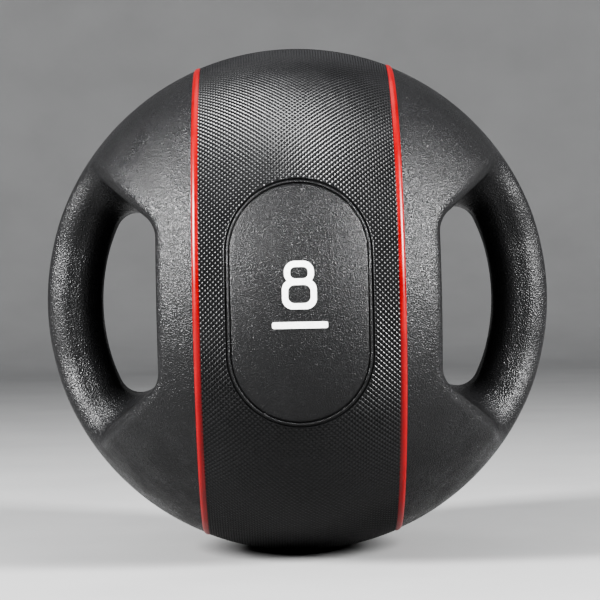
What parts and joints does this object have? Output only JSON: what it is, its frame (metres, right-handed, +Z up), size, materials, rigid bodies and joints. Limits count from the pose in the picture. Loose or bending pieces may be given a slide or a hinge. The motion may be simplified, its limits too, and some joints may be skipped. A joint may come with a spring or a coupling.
{
  "type": "medicine ball",
  "caption": "Heavy rubber medicine ball with a moulded see-through grip on each side, a knurled middle band, raised colour stripes and an oval weight panel.",
  "frame": {"origin": "centre of the ball", "axes": "+X out through the right-hand grip, +Y towards the inflation valve at the back, +Z up; the weight panel faces -Y"},
  "size_m": [0.2744, 0.2748, 0.2756],
  "materials": {
    "cap_rubber": "leather-grained, satin",
    "band_rubber": "fine diamond knurl, satin",
    "stripe_rubber": "smooth, semi-gloss",
    "panel_rubber": "fine leather grain, satin",
    "mark_ink": "matt printed ink",
    "carcass_rubber": "plain",
    "winding_cord": "wound cord",
    "bladder_rubber": "plain",
    "valve_rubber": "plain",
    "plug_rubber": "soft, plain"
  },
  "bodies": {
    "root": {"left_cap": "cap_rubber", "right_cap": "cap_rubber", "centre_band": "band_rubber", "left_stripe": "stripe_rubber", "right_stripe": "stripe_rubber", "front_panel": "panel_rubber", "back_panel": "panel_rubber", "weight_mark": "mark_ink", "left_carcass": "carcass_rubber", "right_carcass": "carcass_rubber", "winding": "winding_cord", "bladder": "bladder_rubber", "valve_housing": "valve_rubber", "valve_insert": "plug_rubber"}
  },
  "joints": []
}
